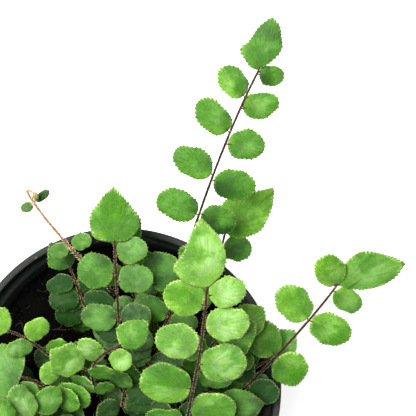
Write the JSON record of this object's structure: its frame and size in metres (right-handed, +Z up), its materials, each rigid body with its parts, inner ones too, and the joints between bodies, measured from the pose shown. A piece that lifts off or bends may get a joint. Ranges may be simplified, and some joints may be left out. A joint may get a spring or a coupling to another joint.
{
  "type": "potted button fern",
  "caption": "Button fern with round leaflets on arching wiry stalks, growing in a small tapered round nursery pot filled with potting mix.",
  "frame": {"origin": "middle of the pot's flat underside, on the pot's axis", "axes": "+Z up along the pot's axis; +Y towards the side that the longest frond leans to; +X to its right seen from above"},
  "size_m": [0.1818, 0.2154, 0.166],
  "materials": {
    "pot_plastic": "black injection-moulded polypropylene, satin, faintly dusty",
    "potting_mix": "damp dark peat potting mix, fully matte",
    "frond_leaf": "leathery mid-green leaflets with a soft sheen, on dark brown wiry stalks",
    "young_frond": "small new leaflets on a pale orange-brown scaly stalk"
  },
  "bodies": {
    "root": {"frond_behind": "frond_leaf", "frond_bowed": "frond_leaf", "frond_core": "frond_leaf", "frond_crosier": "young_frond", "frond_crown": "frond_leaf", "frond_flank": "frond_leaf", "frond_flank_low": "frond_leaf", "frond_heart": "frond_leaf", "frond_lip": "frond_leaf", "frond_low_west": "frond_leaf", "frond_mid": "frond_leaf", "frond_nook": "frond_leaf", "frond_rear": "frond_leaf", "frond_rear_west": "frond_leaf", "frond_right": "frond_leaf", "frond_shaded": "frond_leaf", "frond_spread_1": "frond_leaf", "frond_spread_10": "frond_leaf", "frond_spread_2": "frond_leaf", "frond_spread_3": "frond_leaf", "frond_spread_4": "frond_leaf", "frond_spread_5": "frond_leaf", "frond_spread_6": "frond_leaf", "frond_spread_7": "frond_leaf", "frond_spread_8": "frond_leaf", "frond_spread_9": "frond_leaf", "frond_tall": "frond_leaf", "frond_thicket": "frond_leaf", "frond_upright": "frond_leaf", "frond_westerly": "frond_leaf", "pot": "pot_plastic", "soil": "potting_mix"}
  },
  "joints": []
}
